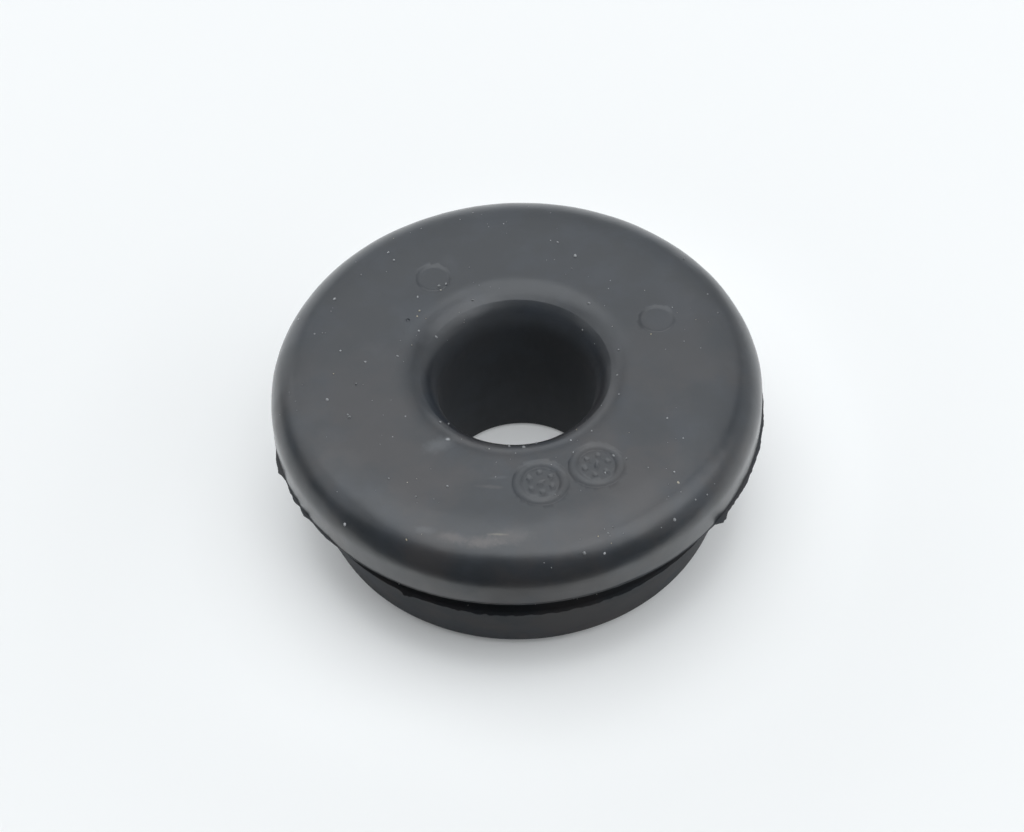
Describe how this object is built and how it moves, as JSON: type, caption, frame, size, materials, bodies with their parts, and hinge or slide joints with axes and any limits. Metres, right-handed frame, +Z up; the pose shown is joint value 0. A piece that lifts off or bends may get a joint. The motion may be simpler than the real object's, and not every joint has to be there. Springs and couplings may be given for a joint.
{
  "type": "rubber grommet",
  "caption": "Round moulded rubber grommet with a wide crowned flange, a panel groove and a tapered lower flange around a smooth cable bore.",
  "frame": {"origin": "centre of the foot, the flat underside of the lower flange, on the bore's axis", "axes": "+Z up the bore's axis from the foot to the wide flange; X and Y are free, because the part is round"},
  "size_m": [0.028, 0.028, 0.0109],
  "materials": {
    "rubber": "satin, moulded, lightly dusty"
  },
  "bodies": {
    "root": {"grommet": "rubber"}
  },
  "joints": []
}
